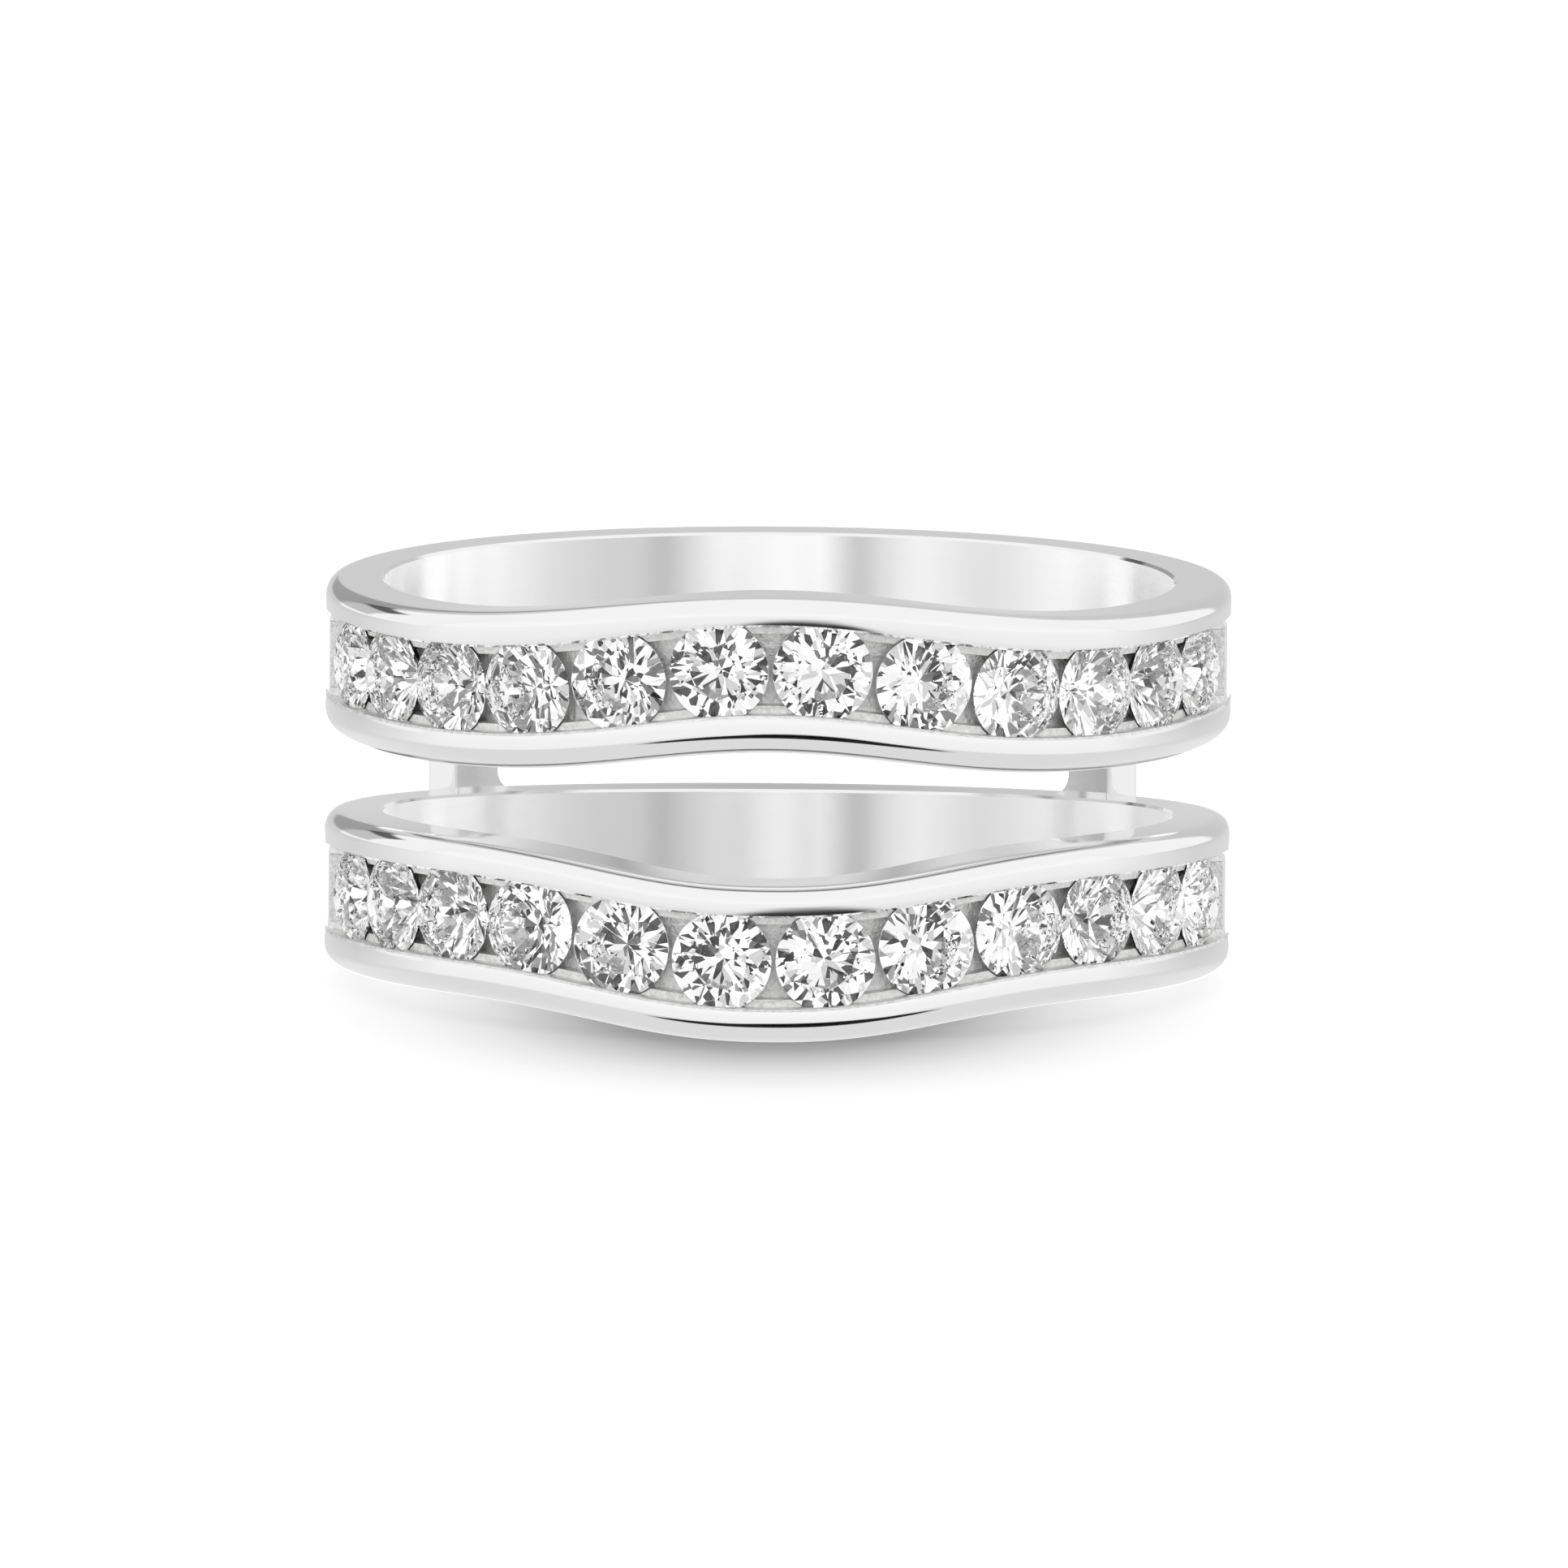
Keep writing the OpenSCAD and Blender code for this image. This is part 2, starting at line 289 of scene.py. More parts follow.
def stone_angles(offset):
    places = [math.degrees(STONE_PITCH / 2 / girdle_level(0))]
    while len(places) < STONES_PER_BAND // 2:
        places.append(places[-1] + math.degrees(STONE_PITCH / girdle_level(places[-1])))
    shift = math.degrees(offset / girdle_level(0))
    return [shift + a for a in [-a for a in places[::-1]] + places]


# Each row of stones: its name, the lines of its band, its places and its turn
STONE_ROWS = (
    ("upper", UPPER_LINES, stone_angles(0.0), 0.0),
    ("lower", LOWER_LINES, stone_angles(LOWER_ROW_OFFSET), LOWER_ROW_TURN),
)


def stone_matrix(lines, angle, turn=0.0):
    """From a stone's own frame, with Z out of the ring, to its place in metres."""
    z = (line_height(lines[CHANNEL_TOP], angle) + line_height(lines[CHANNEL_BOTTOM], angle)) / 2
    return (
        Matrix.Rotation(math.radians(angle), 4, "Z")
        @ Matrix.Translation((0, -girdle_level(angle) * MM, z * MM))
        @ Matrix.Rotation(math.radians(90), 4, "X")
        @ Matrix.Rotation(math.radians(turn), 4, "Z")
    )


SEAT_SIDES = 72


def seat_parts(lines, angle, first):
    """The pocket of a stone: a cone below, a short wall and a cone above, a gap wider than the stone."""
    wide, half = GIRDLE_RADIUS + SEAT_GAP, GIRDLE_HEIGHT / 2 + SEAT_GAP
    tip = GIRDLE_HEIGHT / 2 + PAVILION_DEPTH + SEAT_END_GAP
    lid = GIRDLE_HEIGHT / 2 + CROWN_HEIGHT + SEAT_END_GAP
    outline = [(wide, -half), (wide, half), (TABLE_RADIUS + SEAT_GAP, lid)]
    matrix = stone_matrix(lines, angle)
    points = [(0, 0, -tip)]
    for radius, z in outline:
        for k in range(SEAT_SIDES):
            turn = 2 * math.pi * k / SEAT_SIDES
            points.append((radius * math.cos(turn), radius * math.sin(turn), z))
    points.append((0, 0, lid))
    n = SEAT_SIDES
    last_ring = 1 + (len(outline) - 1) * n
    faces = []
    for k in range(n):
        after = (k + 1) % n
        faces.append((0, 1 + after, 1 + k))
        for ring in range(len(outline) - 1):
            a, b = 1 + ring * n + k, 1 + ring * n + after
            faces.append((a, b, b + n, a + n))
        faces.append((last_ring + k, last_ring + after, len(points) - 1))
    placed = [matrix @ Vector((x * MM, y * MM, z * MM)) for x, y, z in points]
    return [tuple(c / MM for c in p) for p in placed], [tuple(first + i for i in f) for f in faces]


def apply_boolean(obj, other, operation):
    modifier = obj.modifiers.new(operation, "BOOLEAN")
    modifier.operation = operation
    modifier.solver = "MANIFOLD"
    modifier.object = other
    graph = bpy.context.evaluated_depsgraph_get()
    result = bpy.data.meshes.new_from_object(obj.evaluated_get(graph))
    obj.modifiers.clear()
    result.materials.clear()
    obj.data = result
    bpy.data.objects.remove(other)


metal = joined("ring_metal", [
    lambda n: band_parts(UPPER_LINES, n),
    lambda n: band_parts(LOWER_LINES, n),
])
bridges = joined("bridges", [
    lambda n: bridge_parts(1, n),
    lambda n: bridge_parts(-1, n),
])
seats = joined("seats", [
    (lambda n, lines=lines, angle=angle: seat_parts(lines, angle, n))
    for _, lines, angles, _ in STONE_ROWS for angle in angles
])
apply_boolean(metal, bridges, "UNION")
apply_boolean(metal, seats, "DIFFERENCE")

# Which finish each face takes: polished outside, brushed in the finger hole, as cast in the channel
POLISHED, BRUSHED, CAST = range(3)
# A face is in the finger hole within BORE_REACH of its radius, and in a channel from RAIL_REACH
# inside the rails' face and up to the other two past the channel's edges and ends
BORE_REACH, RAIL_REACH, CHANNEL_REACH, END_REACH = 0.02, 0.04, 0.2, 0.2
# An upright face's normal points up or down by less than this
UPRIGHT = 0.5
SHARP_ANGLE, FACE_WEIGHT = 28, 90


def finish_of(centre, normal):
    x, y, z = (c / MM for c in centre)
    radius = math.hypot(x, y)
    angle = math.degrees(math.atan2(x, -y))
    if radius < HOLE_RADIUS + BORE_REACH and abs(normal.z) < UPRIGHT:
        return BRUSHED
    if abs(angle) < BACK_START + END_REACH and radius < outer_radius(angle) - RAIL_REACH:
        for lines in (UPPER_LINES, LOWER_LINES):
            low = line_height(lines[CHANNEL_BOTTOM], angle)
            high = line_height(lines[CHANNEL_TOP], angle)
            if low - CHANNEL_REACH < z < high + CHANNEL_REACH:
                return CAST
    return POLISHED


for polygon in metal.data.polygons:
    polygon.material_index = finish_of(polygon.center, polygon.normal)
metal.data.shade_smooth()
metal.data.set_sharp_from_angle(angle=math.radians(SHARP_ANGLE))
weighted = metal.modifiers.new("weighted_normals", "WEIGHTED_NORMAL")
weighted.keep_sharp = True
weighted.weight = FACE_WEIGHT

# Stones: a round blank cut by the planes of its facets

BLANK_SIDES = 96
# In a stone's own millimetres and degrees
WELD, SAME_PLANE_ANGLE = 1e-5, 0.3
# A facet whose normal points further down than this is part of the mirror back
PAVILION_SLOPE = -0.3


def brilliant_planes():
    """One point and outward normal for each facet."""
    top = GIRDLE_HEIGHT / 2
    table_z = top + CROWN_HEIGHT
    star_run = GIRDLE_RADIUS - STAR_RADIUS * math.cos(HALF_SECTOR)
    star_z = top + CROWN_HEIGHT * star_run / (GIRDLE_RADIUS - TABLE_RADIUS)
    half_z = -top - PAVILION_DEPTH * (1 - LOWER_HALF_RADIUS * math.cos(HALF_SECTOR) / GIRDLE_RADIUS)
    culet = Vector((0, 0, -top - PAVILION_DEPTH))

    def ring(radius, z, step):
        turn = HALF_SECTOR * step
        return Vector((radius * math.cos(turn), radius * math.sin(turn), z))

    planes = [(Vector((0, 0, table_z)), Vector((0, 0, 1)))]
    for k in range(8):
        main, half, after = 2 * k, 2 * k + 1, 2 * k + 2
        star = ring(STAR_RADIUS, star_z, half)
        low = ring(LOWER_HALF_RADIUS, half_z, half)
        facets = [
            (ring(TABLE_RADIUS, table_z, main), ring(TABLE_RADIUS, table_z, after), star),
            (ring(TABLE_RADIUS, table_z, main), star, ring(GIRDLE_RADIUS, top, main)),
            (star, ring(GIRDLE_RADIUS, top, half), ring(GIRDLE_RADIUS, top, main)),
            (star, ring(GIRDLE_RADIUS, top, after), ring(GIRDLE_RADIUS, top, half)),
            (culet, ring(GIRDLE_RADIUS, -top, main), low),
            (ring(GIRDLE_RADIUS, -top, main), ring(GIRDLE_RADIUS, -top, half), low),
            (ring(GIRDLE_RADIUS, -top, half), ring(GIRDLE_RADIUS, -top, after), low),
        ]
        for a, b, c in facets:
            normal = (b - a).cross(c - a).normalized()
            if normal.dot(a) < 0:
                normal = -normal
            planes.append((a, normal))
    return planes


def brilliant_mesh():
    bm = bmesh.new()
    bmesh.ops.create_cone(
        bm, cap_ends=True, segments=BLANK_SIDES, radius1=GIRDLE_RADIUS, radius2=GIRDLE_RADIUS,
        depth=2 * (PAVILION_DEPTH + CROWN_HEIGHT))
    for point, normal in brilliant_planes():
        everything = bm.verts[:] + bm.edges[:] + bm.faces[:]
        cut = bmesh.ops.bisect_plane(
            bm, geom=everything, plane_co=point, plane_no=normal, dist=WELD, clear_outer=True)
        edges = [e for e in cut["geom_cut"] if isinstance(e, bmesh.types.BMEdge)]
        edges = [e for e in edges if e.is_valid and e.is_boundary]
        if edges:
            bmesh.ops.contextual_create(bm, geom=edges)
    bmesh.ops.remove_doubles(bm, verts=bm.verts[:], dist=WELD)
    bmesh.ops.dissolve_limit(
        bm, angle_limit=math.radians(SAME_PLANE_ANGLE), verts=bm.verts[:], edges=bm.edges[:])
    bmesh.ops.recalc_face_normals(bm, faces=bm.faces[:])
    bmesh.ops.scale(bm, vec=(MM, MM, MM), verts=bm.verts[:])
    mesh = bpy.data.meshes.new("brilliant")
    bm.to_mesh(mesh)
    bm.free()
    return mesh


cut_stone = brilliant_mesh()
stones = []
for row, lines, angles, row_turn in STONE_ROWS:
    for k, angle in enumerate(angles, 1):
        mesh = cut_stone.copy()
        for polygon in mesh.polygons:
            polygon.material_index = int(polygon.normal.z < PAVILION_SLOPE)
        mesh.transform(stone_matrix(lines, angle, (k + row_turn) * TURN_STEP))
        stone = bpy.data.objects.new(f"{row}_brilliant_{k:02d}", mesh)
        bpy.context.scene.collection.objects.link(stone)
        stones.append((stone, f"{row}_stone_{k:02d}"))


# Materials

def new_material(name):
    material = bpy.data.materials.new(name)
    material.use_nodes = True
    tree = material.node_tree
    return material, tree, tree.nodes["Principled BSDF"]


def node(tree, kind, **inputs):
    made = tree.nodes.new(kind)
    for key, value in inputs.items():
        made.inputs[key.replace("_", " ")].default_value = value
    return made


def math_node(tree, operation, *values, clamp=False):
    """The result of a sum on numbers and sockets."""
    made = tree.nodes.new("ShaderNodeMath")
    made.operation = operation
    made.use_clamp = clamp
    for socket, value in zip(made.inputs, values):
        if isinstance(value, (int, float)):
            socket.default_value = value
        else:
            tree.links.new(value, socket)
    return made.outputs[0]


def map_range(tree, value, low, high):
    """0 at low, 1 at high, clamped."""
    made = tree.nodes.new("ShaderNodeMapRange")
    made.inputs["From Min"].default_value = low
    made.inputs["From Max"].default_value = high
    tree.links.new(value, made.inputs["Value"])
    return made.outputs["Result"]


def split(tree, vector):
    """The X, Y and Z of a vector."""
    made = tree.nodes.new("ShaderNodeSeparateXYZ")
    tree.links.new(vector, made.inputs[0])
    return made.outputs


def object_place(tree):
    return tree.nodes.new("ShaderNodeTexCoord").outputs["Object"]


def surface_normal(tree):
    return tree.nodes.new("ShaderNodeNewGeometry").outputs["Normal"]


# Nearly all of a noise lies between these
NOISE_LOW, NOISE_HIGH = 0.3, 0.7


def stretched_noise(tree, scale, detail=4.0, roughness=0.55):
    """A noise with a scale per metre along each axis."""
    mapping = tree.nodes.new("ShaderNodeMapping")
    mapping.inputs["Scale"].default_value = scale
    tree.links.new(object_place(tree), mapping.inputs["Vector"])
    noise = node(tree, "ShaderNodeTexNoise", Scale=1.0, Detail=detail, Roughness=roughness)
    tree.links.new(mapping.outputs["Vector"], noise.inputs["Vector"])
    return noise


def bump(tree, shader, height, strength, distance, normal=None):
    made = node(tree, "ShaderNodeBump", Strength=strength, Distance=distance)
    tree.links.new(height.outputs["Fac"], made.inputs["Height"])
    if normal is not None:
        tree.links.new(normal, made.inputs["Normal"])
    tree.links.new(made.outputs["Normal"], shader.inputs["Normal"])


def leaned_up(tree, lean):
    """The surface's normal with a little upward lean, as the rounded inside of a ring has."""
    tilted = tree.nodes.new("ShaderNodeVectorMath")
    tilted.operation = "ADD"
    tilted.inputs[1].default_value = (0, 0, lean)
    tree.links.new(surface_normal(tree), tilted.inputs[0])
    unit = tree.nodes.new("ShaderNodeVectorMath")
    unit.operation = "NORMALIZE"
    tree.links.new(tilted.outputs["Vector"], unit.inputs[0])
    return unit.outputs["Vector"]


def spread(tree, source, low, high, socket):
    """Maps a noise to a value between low and high on a shader socket."""
    made = tree.nodes.new("ShaderNodeMapRange")
    made.inputs["From Min"].default_value = NOISE_LOW
    made.inputs["From Max"].default_value = NOISE_HIGH
    made.inputs["To Min"].default_value = low
    made.inputs["To Max"].default_value = high
    tree.links.new(source.outputs["Fac"], made.inputs["Value"])
    tree.links.new(made.outputs["Result"], socket)


def curve_through(tree, value, low, high, stops, interpolation="CARDINAL"):
    """A curve through stops of (place, brightness) between low and high, for a value of 0 to 1."""
    ramp = tree.nodes.new("ShaderNodeValToRGB")
    ramp.color_ramp.interpolation = interpolation
    marks = ramp.color_ramp.elements
    for at, level in stops[1:-1]:
        marks.new((at - low) / (high - low)).color = (level, level, level, 1)
    marks[0].color = (stops[0][1],) * 3 + (1,)
    marks[-1].color = (stops[-1][1],) * 3 + (1,)
    tree.links.new(value, ramp.inputs["Fac"])
    return ramp.outputs["Color"]


# Brightness of the polish, and a painted shade on the lower band's flat top edge by distance from the
# middle, darkest in the middle
POLISH = 0.82
PAINTED_TOP_SHADE = ((0, 0.42), (1.5, 0.45), (4.0, 0.62), (7.0, 0.68), (9.0, 0.8), (10.5, 0.8))
# Heights between the bands from which the painted shade fades, and how level a face has to be for it
SHADE_FADE_END, SHADE_FADE_START = 5.0 * MM, 4.9 * MM
NEARLY_LEVEL, LEVEL = 0.97, 0.995


def polished():
    material, tree, shader = new_material("white_gold_polished")
    x, _, z = split(tree, object_place(tree))
    upward = split(tree, surface_normal(tree))["Z"]
    on_top = map_range(tree, upward, NEARLY_LEVEL, LEVEL)
    on_lower = map_range(tree, z, SHADE_FADE_END, SHADE_FADE_START)
    reach = PAINTED_TOP_SHADE[-1][0]
    sideways = map_range(tree, math_node(tree, "ABSOLUTE", x), 0, reach * MM)
    # Painted shade: level faces on the lower band's top are darkened in the colour, most in the middle
    tone = tree.nodes.new("ShaderNodeMix")
    tone.data_type = "RGBA"
    tone.inputs["A"].default_value = (POLISH, POLISH, POLISH, 1)
    tree.links.new(math_node(tree, "MULTIPLY", on_top, on_lower), tone.inputs["Factor"])
    tree.links.new(curve_through(tree, sideways, 0, reach, PAINTED_TOP_SHADE), tone.inputs["B"])
    tree.links.new(tone.outputs["Result"], shader.inputs["Base Color"])
    shader.inputs["Metallic"].default_value = 1.0
    spread(tree, stretched_noise(tree, (900, 900, 900)), 0.05, 0.09, shader.inputs["Roughness"])
    bump(tree, shader, stretched_noise(tree, (350, 350, 350), 2.0), 0.04, 0.00002)
    return material


# Painted reflections in the brushed finger hole, as upright streaks: degrees from the front or back of
# the ring, brightness
PAINTED_STREAKS = (
    (-90, 1.0), (-55, 1.0), (-46, 0.9), (-38, 0.76), (-30, 0.65), (-22, 0.59), (-17, 0.55), (-10, 0.96),
    (-2, 1.0), (5, 1.0), (10, 0.62), (14, 0.7), (20, 0.85), (30, 0.75), (38, 0.82), (47, 0.97),
    (60, 0.95), (90, 1.0),
)


def paint_streaks(tree, socket):
    """Soft upright streaks of painted reflection, set out in the colour by angle round the hole."""
    x, y, _ = split(tree, object_place(tree))
    angle = math_node(tree, "ARCTANGENT", math_node(tree, "DIVIDE", x, y))
    scaled = map_range(tree, angle, -math.pi / 2, math.pi / 2)
    tree.links.new(curve_through(tree, scaled, -90, 90, PAINTED_STREAKS), socket)


# How much is added to the Z of the finger hole's shading normal, whose length is 1
BORE_LEAN = 0.17


def brushed():
    material, tree, shader = new_material("white_gold_brushed")
    # Painted reflection: upright streaks in the base colour by angle round the hole
    paint_streaks(tree, shader.inputs["Base Color"])
    shader.inputs["Metallic"].default_value = 1.0
    shader.inputs["Anisotropic"].default_value = 0.95
    shader.inputs["Anisotropic Rotation"].default_value = 0.25
    lines = stretched_noise(tree, (60, 60, 24000), 3.0)
    spread(tree, lines, 0.23, 0.26, shader.inputs["Roughness"])
    bump(tree, shader, lines, 0.009, 0.00001, leaned_up(tree, BORE_LEAN))
    tangent = tree.nodes.new("ShaderNodeTangent")
    tangent.direction_type = "RADIAL"
    tangent.axis = "Z"
    tree.links.new(tangent.outputs["Tangent"], shader.inputs["Tangent"])
    return material


def cast():
    material, tree, shader = new_material("white_gold_cast")
    grain = stretched_noise(tree, (9000, 9000, 9000), 5.0)
    ramp = tree.nodes.new("ShaderNodeValToRGB")
    ramp.color_ramp.elements[0].position = NOISE_LOW
    ramp.color_ramp.elements[0].color = (0.68, 0.68, 0.675, 1)
    ramp.color_ramp.elements[1].position = NOISE_HIGH
    ramp.color_ramp.elements[1].color = (0.95, 0.95, 0.945, 1)
    tree.links.new(grain.outputs["Fac"], ramp.inputs["Fac"])
    tree.links.new(ramp.outputs["Color"], shader.inputs["Base Color"])
    shader.inputs["Metallic"].default_value = 1.0
    spread(tree, grain, 0.4, 0.55, shader.inputs["Roughness"])
    bump(tree, shader, grain, 0.8, 0.00004)
    return material


def stone_back():
    material, tree, shader = new_material("clear_stone_back")
    shader.inputs["Base Color"].default_value = (0.97, 0.97, 0.97, 1)
    shader.inputs["Metallic"].default_value = 1.0
    shader.inputs["Roughness"].default_value = 0.0
    bump(tree, shader, stretched_noise(tree, (2500, 2500, 2500), 2.0), 0.01, 0.00001)
    return material


def clear_stone():
    material, tree, shader = new_material("clear_stone")
    shader.inputs["Base Color"].default_value = (1, 1, 1, 1)
    shader.inputs["Roughness"].default_value = 0.0
    shader.inputs["IOR"].default_value = 1.7
    shader.inputs["Transmission Weight"].default_value = 1.0
    bump(tree, shader, stretched_noise(tree, (2500, 2500, 2500), 2.0), 0.01, 0.00001)
    return material


for make in (polished, brushed, cast):
    metal.data.materials.append(make())
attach(metal, "root")
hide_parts("guard_frame")

stone_materials = clear_stone(), stone_back()
for stone, cad_node in stones:
    for material in stone_materials:
        stone.data.materials.append(material)
    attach(stone, "root")
    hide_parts(cad_node)

# Floor

FLOOR_HALF, FLOOR_CELLS, FLOOR_GLOW = 6.0, 24, 6.0
bm = bmesh.new()
bmesh.ops.create_grid(bm, x_segments=FLOOR_CELLS, y_segments=FLOOR_CELLS, size=FLOOR_HALF)
floor_mesh = bpy.data.meshes.new("floor")
bm.to_mesh(floor_mesh)
bm.free()
floor = bpy.data.objects.new("floor", floor_mesh)
bpy.context.scene.collection.objects.link(floor)
floor_material, tree, shader = new_material("floor_white")
shader.inputs["Roughness"].default_value = 0.9
shader.inputs["Specular IOR Level"].default_value = 0.0
# A soft contact shadow painted into the floor's colour and glow under the front of the ring, deepest
# below the middle of the lower band
SHADE_CENTRE, SHADE_SIZE = (0, -5 * MM, 0), (6.2 * MM, 10 * MM, 10 * MM)
SHADE = (
    (0, 0.034), (0.45, 0.042), (0.62, 0.055), (0.75, 0.077), (0.89, 0.095), (1.02, 0.111), (1.25, 0.128),
    (1.5, 0.138), (1.9, 0.15),
)
oval = tree.nodes.new("ShaderNodeMapping")
oval.vector_type = "TEXTURE"
oval.inputs["Location"].default_value = SHADE_CENTRE
oval.inputs["Scale"].default_value = SHADE_SIZE
tree.links.new(object_place(tree), oval.inputs["Vector"])
away = tree.nodes.new("ShaderNodeVectorMath")
away.operation = "LENGTH"
tree.links.new(oval.outputs["Vector"], away.inputs[0])
shade_end = SHADE[-1][0]
shade = curve_through(
    tree, map_range(tree, away.outputs["Value"], 0, shade_end), 0, shade_end, SHADE, "LINEAR")
tree.links.new(shade, shader.inputs["Base Color"])
tree.links.new(shade, shader.inputs["Emission Color"])
shader.inputs["Emission Strength"].default_value = FLOOR_GLOW
floor_mesh.materials.append(floor_material)
floor.visible_glossy = False
floor.visible_transmission = False

# Light: a studio of soft white sides with darker gaps, painted by direction

world = bpy.data.worlds.new("studio")
bpy.context.scene.world = world
world.use_nodes = True
sky = world.node_tree
background = sky.nodes["Background"]


def sky_math(operation, *values, clamp=False):
    return math_node(sky, operation, *values, clamp=clamp)


direction = sky.nodes.new("ShaderNodeTexCoord").outputs["Generated"]
X, Y, Z = split(sky, direction)
ELEVATION = sky_math("MULTIPLY", sky_math("ARCSINE", Z), 180 / math.pi)
# 0 in front, where the camera is, and positive to the right
AZIMUTH = sky_math("MULTIPLY", sky_math("ARCTAN2", X, sky_math("MULTIPLY", Y, -1)), 180 / math.pi)


def ramp_of(value, low, high, stops):
    """Brightness by direction, as a smooth curve through stops of (degrees, brightness)."""
    return curve_through(sky, map_range(sky, value, low, high), low, high, stops, "EASE")


def window(value, middle, half_width, soft):
    """1 inside middle +- half_width, 0 outside, with a soft edge."""
    away = sky_math("ABSOLUTE", sky_math("SUBTRACT", value, middle))
    return sky_math("DIVIDE", sky_math("SUBTRACT", half_width + soft, away), soft, clamp=True)


def lens(azimuth, half_width, elevation, half_height, soft):
    """1 inside an ellipse of directions, 0 outside, with a soft edge."""
    across = sky_math("DIVIDE", sky_math("SUBTRACT", AZIMUTH, azimuth), half_width)
    along = sky_math("DIVIDE", sky_math("SUBTRACT", ELEVATION, elevation), half_height)
    square = sky_math("ADD", sky_math("MULTIPLY", across, across), sky_math("MULTIPLY", along, along))
    return sky_math("DIVIDE", sky_math("SUBTRACT", 1.0, square), soft, clamp=True)


def darken(light, depth, mask):
    return sky_math("MULTIPLY", light, sky_math("SUBTRACT", 1.0, sky_math("MULTIPLY", mask, depth)))


def lighten(light, level, mask):
    return sky_math("MAXIMUM", light, sky_math("MULTIPLY", mask, level))


def patch(turn, turn_half, turn_soft, rise, rise_half, rise_soft, around=None):
    """A soft rectangle of directions, by azimuth (or another value around) and elevation."""
    sideways = window(AZIMUTH if around is None else around, turn, turn_half, turn_soft)
    return sky_math("MULTIPLY", sideways, window(ELEVATION, rise, rise_half, rise_soft))


# Brightness by elevation, in front and behind
FRONT = (
    (-90, 0.66), (-13, 0.66), (-11, 0.71), (-8.4, 0.81), (-7, 0.82), (2, 0.83), (12, 0.88), (20, 0.86),
    (32, 0.84), (90, 0.84),
)
BEHIND = (
    (-90, 0.72), (-20, 0.7), (-9, 0.6), (7, 0.51), (24, 0.51), (40, 0.57), (46, 0.84), (90, 0.84),
)
STUDIO_BRIGHTNESS = 1.3
front = ramp_of(ELEVATION, -90, 90, FRONT)
behind = ramp_of(ELEVATION, -90, 90, BEHIND)
# 1 in front and to the sides, fading to 0 behind
is_front = sky_math("MULTIPLY_ADD", Y, -1.6, 1.15, clamp=True)
mixed = sky.nodes.new("ShaderNodeMix")
mixed.data_type = "FLOAT"
sky.links.new(is_front, mixed.inputs["Factor"])
sky.links.new(behind, mixed.inputs["A"])
sky.links.new(front, mixed.inputs["B"])
light = sky_math("MULTIPLY", mixed.outputs["Result"], STUDIO_BRIGHTNESS)
TURN = sky_math("ABSOLUTE", AZIMUTH)
# Lighter: tall white panels behind at both sides, and a low one straight behind
light = lighten(light, 1.08, patch(125, 22, 10, 30, 28, 6, around=TURN))
light = lighten(light, 1.7, patch(180, 7, 6, -11, 7, 2, around=TURN))
# Darker: a wide gap low in front with a deeper middle, for the dark lines under the rails
light = darken(light, 0.98, lens(6, 42, -18, 7.4, 0.25))
light = darken(light, 0.97, lens(9, 21, -12.5, 5.0, 0.5))
# Darker: a gap behind on the left with a deeper upper edge, for the dark left corners
light = darken(light, 0.42, patch(-152, 22, 2, 17, 11, 1.5))
light = darken(light, 0.8, patch(-141, 10, 4, 25.5, 2.5, 2))

# What the stones show: white cells among grey and dark ones, as share of the cells and brightness,
# and a dark spot in front. To the sides the contrast falls to a grey.
CELLS = ((0, 0.0), (0.09, 0.12), (0.16, 0.3), (0.24, 0.55), (0.35, 0.8), (0.5, 1.0))
STONE_BRIGHTNESS = 1.25
SIDE_START, SIDE_FADE = 60, 30
SIDE_CONTRAST_LOSS, SIDE_GREY = 0.7, 0.72
speckle = sky.nodes.new("ShaderNodeTexVoronoi")
speckle.inputs["Scale"].default_value = 6.0
sky.links.new(direction, speckle.inputs["Vector"])
gaps = sky.nodes.new("ShaderNodeSeparateColor")
sky.links.new(speckle.outputs["Color"], gaps.inputs[0])
cells = sky.nodes.new("ShaderNodeValToRGB")
cells.color_ramp.interpolation = "CONSTANT"
for share, level in CELLS[1:-1]:
    cells.color_ramp.elements.new(share).color = (level, level, level, 1)
cells.color_ramp.elements[0].color = (CELLS[0][1],) * 3 + (1,)
cells.color_ramp.elements[-1].position = CELLS[-1][0]
cells.color_ramp.elements[-1].color = (CELLS[-1][1],) * 3 + (1,)
sky.links.new(gaps.outputs[0], cells.inputs["Fac"])
stone_light = sky_math("MULTIPLY", cells.outputs["Color"], STONE_BRIGHTNESS)
stone_light = darken(stone_light, 0.8, lens(0, 5, 8, 5, 0.4))
sideways = sky_math("DIVIDE", sky_math("SUBTRACT", TURN, SIDE_START), SIDE_FADE, clamp=True)
stone_light = darken(stone_light, SIDE_CONTRAST_LOSS, sideways)
stone_light = sky_math("ADD", stone_light, sky_math("MULTIPLY", sideways, SIDE_GREY))
path = sky.nodes.new("ShaderNodeLightPath")
by_ray = sky.nodes.new("ShaderNodeMix")
by_ray.data_type = "FLOAT"
sky.links.new(path.outputs["Is Transmission Ray"], by_ray.inputs["Factor"])
sky.links.new(light, by_ray.inputs["A"])
sky.links.new(stone_light, by_ray.inputs["B"])
sky.links.new(by_ray.outputs["Result"], background.inputs["Strength"])
background.inputs["Color"].default_value = (1, 1, 1, 1)


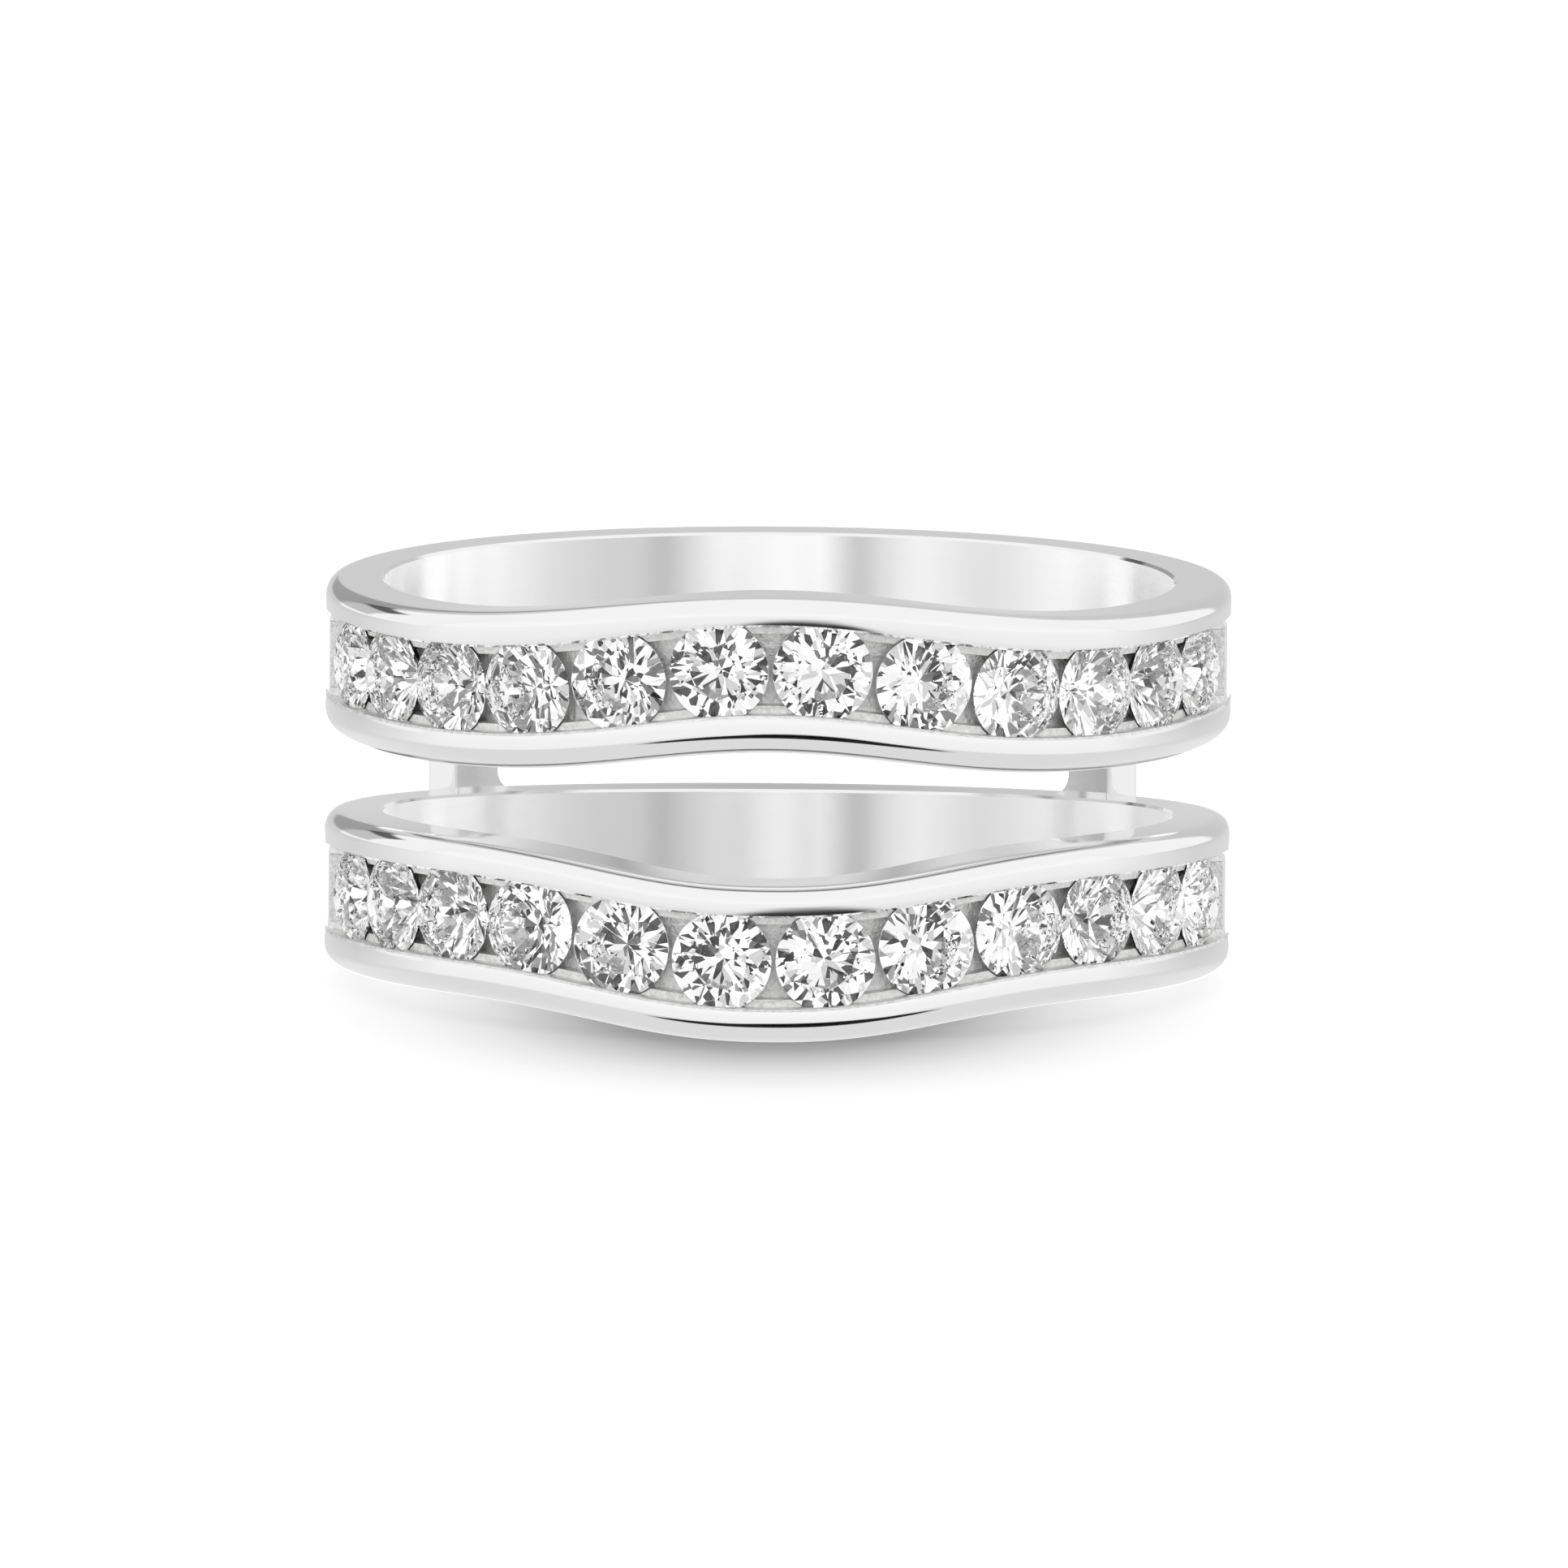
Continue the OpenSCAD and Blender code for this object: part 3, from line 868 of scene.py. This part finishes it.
# A soft lamp above, a little behind the ring
KEY_PLACE, KEY_SIZE, KEY_POWER = Vector((0, 60, 500)) * MM, 1.8, 6.0
key_data = bpy.data.lights.new("key", "AREA")
key_data.shape = "RECTANGLE"
key_data.size = key_data.size_y = KEY_SIZE
key_data.energy = KEY_POWER
key = bpy.data.objects.new("key", key_data)
key.location = KEY_PLACE
key.rotation_mode = "QUATERNION"
key.rotation_quaternion = (-KEY_PLACE).to_track_quat("-Z", "Y")
bpy.context.scene.collection.objects.link(key)
key.visible_glossy = False
key.visible_transmission = False

# Camera: far away with a long lens, as the photograph was taken

FRAME_PIXELS = 1932
PIXELS_PER_MM = 56.2
CAMERA_ELEVATION, CAMERA_AZIMUTH, CAMERA_ROLL = 7.7, 0.95, 0.38
CAMERA_DISTANCE = 1.0
SENSOR_WIDTH = 36
# This point on the finger hole's axis lies at this pixel of the photograph
AIM_AT = Vector((0, 0, 4.41 * MM))
AIM_PIXEL = (958.5, 960.0)

e, a, roll = (math.radians(v) for v in (CAMERA_ELEVATION, CAMERA_AZIMUTH, CAMERA_ROLL))
back = Vector((math.sin(a) * math.cos(e), -math.cos(a) * math.cos(e), math.sin(e)))
right = Vector((0, 0, 1)).cross(back).normalized()
up = back.cross(right)
right, up = (
    right * math.cos(roll) + up * math.sin(roll),
    up * math.cos(roll) - right * math.sin(roll),
)
camera_data = bpy.data.cameras.new("camera")
camera_data.sensor_width = SENSOR_WIDTH
camera_data.lens = SENSOR_WIDTH * CAMERA_DISTANCE / (FRAME_PIXELS / PIXELS_PER_MM * MM)
camera_data.clip_start, camera_data.clip_end = 0.05, 20
camera = bpy.data.objects.new("camera", camera_data)
half = FRAME_PIXELS / 2
off_aim = right * (half - AIM_PIXEL[0]) - up * (half - AIM_PIXEL[1])
centre = AIM_AT + off_aim * MM / PIXELS_PER_MM
camera.matrix_world = Matrix((
    (right.x, up.x, back.x, 0),
    (right.y, up.y, back.y, 0),
    (right.z, up.z, back.z, 0),
    (0, 0, 0, 1),
))
camera.location = centre + back * CAMERA_DISTANCE
bpy.context.scene.collection.objects.link(camera)
bpy.context.scene.camera = camera

LIGHT_BOUNCES = 24
scene = bpy.context.scene
scene.view_settings.view_transform = "Standard"
scene.view_settings.look = "None"
scene.cycles.max_bounces = LIGHT_BOUNCES
scene.cycles.glossy_bounces = LIGHT_BOUNCES
scene.cycles.transmission_bounces = LIGHT_BOUNCES
